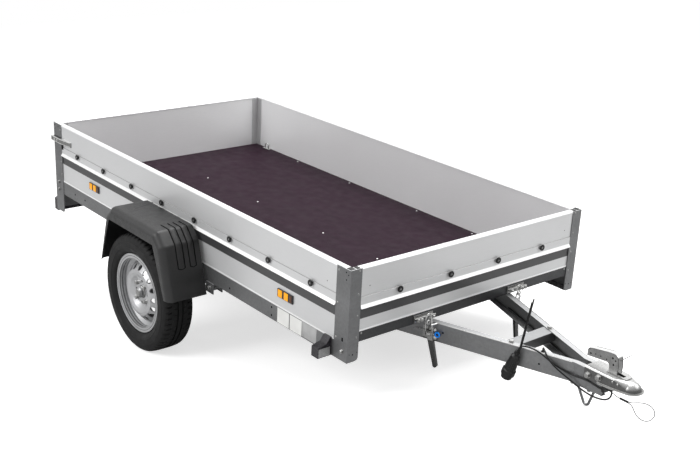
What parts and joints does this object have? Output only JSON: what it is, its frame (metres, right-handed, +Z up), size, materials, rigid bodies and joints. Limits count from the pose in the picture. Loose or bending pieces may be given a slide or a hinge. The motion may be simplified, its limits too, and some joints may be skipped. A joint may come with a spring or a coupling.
{
  "type": "utility trailer",
  "caption": "Single-axle box trailer with hollow aluminium sides, drop-down tailgate, plywood floor, mudguards and a tilting V drawbar with ball coupling.",
  "frame": {"origin": "on the ground below the middle of the trailer as it stands parked, leads left out", "axes": "+X forward towards the coupling, +Y to the trailer's left, +Z up; the bed is pitched nose down because the trailer rests on its wheels and the drawbar's foot"},
  "size_m": [3.3944, 1.72, 0.9566],
  "materials": {
    "board_aluminium": "satin",
    "galvanised_steel": "satin",
    "zinc_plated": "polished",
    "plywood": "satin",
    "tyre_rubber": "matte",
    "wheel_paint": "satin",
    "black_plastic": "matte",
    "reflector": "gloss",
    "lamp_housing": "gloss",
    "blue_plastic": "gloss",
    "lead_rubber": "satin"
  },
  "bodies": {
    "bed": {"side_boards": "board_aluminium", "front_board": "board_aluminium", "corner_posts": "galvanised_steel", "side_rails": "galvanised_steel", "cross_members": "galvanised_steel", "lamp_beam": "galvanised_steel", "axle_beam": "galvanised_steel", "leaf_springs": "galvanised_steel", "spring_mounts": "galvanised_steel", "mudguard_brackets": "galvanised_steel", "tilt_brackets": "galvanised_steel", "gate_hinges_fixed": "galvanised_steel", "bed_catches": "zinc_plated", "gate_latches": "zinc_plated", "lashing_rings": "zinc_plated", "floor_panel": "plywood", "mudguards": "black_plastic", "tarp_knobs": "black_plastic", "side_reflectors": "reflector", "lamps": "lamp_housing"},
    "tailgate": {"tailgate_board": "board_aluminium", "gate_hinges_moving": "galvanised_steel", "gate_catches": "zinc_plated", "gate_knobs": "black_plastic"},
    "drawbar": {"drawbar_arms": "galvanised_steel", "drawbar_brace": "galvanised_steel", "coupling_body": "zinc_plated", "coupling_handle": "zinc_plated", "parking_foot": "galvanised_steel", "drawbar_latches": "zinc_plated", "latch_clips": "blue_plastic", "lead_holders": "black_plastic", "plug_lead": "lead_rubber", "loop_lead": "lead_rubber", "safety_lead": "zinc_plated", "safety_loop": "zinc_plated", "power_plug": "black_plastic", "rope_ferrule": "zinc_plated", "cable_tie": "black_plastic"},
    "wheel_right": {"tyre_right": "tyre_rubber", "rim_right": "wheel_paint", "hub_right": "galvanised_steel"},
    "wheel_left": {"tyre_left": "tyre_rubber", "rim_left": "wheel_paint", "hub_left": "galvanised_steel"}
  },
  "joints": [
    {"name": "wheel_right_spin", "type": "hinge", "parent": "bed", "child": "wheel_right", "pos_m": [-0.4455, -0.8045, 0.2735], "axis": [0, 1, 0], "continuous": true},
    {"name": "wheel_left_spin", "type": "hinge", "parent": "bed", "child": "wheel_left", "pos_m": [-0.4455, 0.8045, 0.2735], "axis": [0, 1, 0], "continuous": true},
    {"name": "tailgate_drop", "type": "hinge", "parent": "bed", "child": "tailgate", "pos_m": [-1.58853, 0, 0.65205], "axis": [0, -1, 0], "range_deg": [0, 140]},
    {"name": "drawbar_tilt", "type": "hinge", "parent": "bed", "child": "drawbar", "pos_m": [0.30265, 0, 0.31353], "axis": [0, 1, 0], "range_deg": [0, 25]}
  ]
}
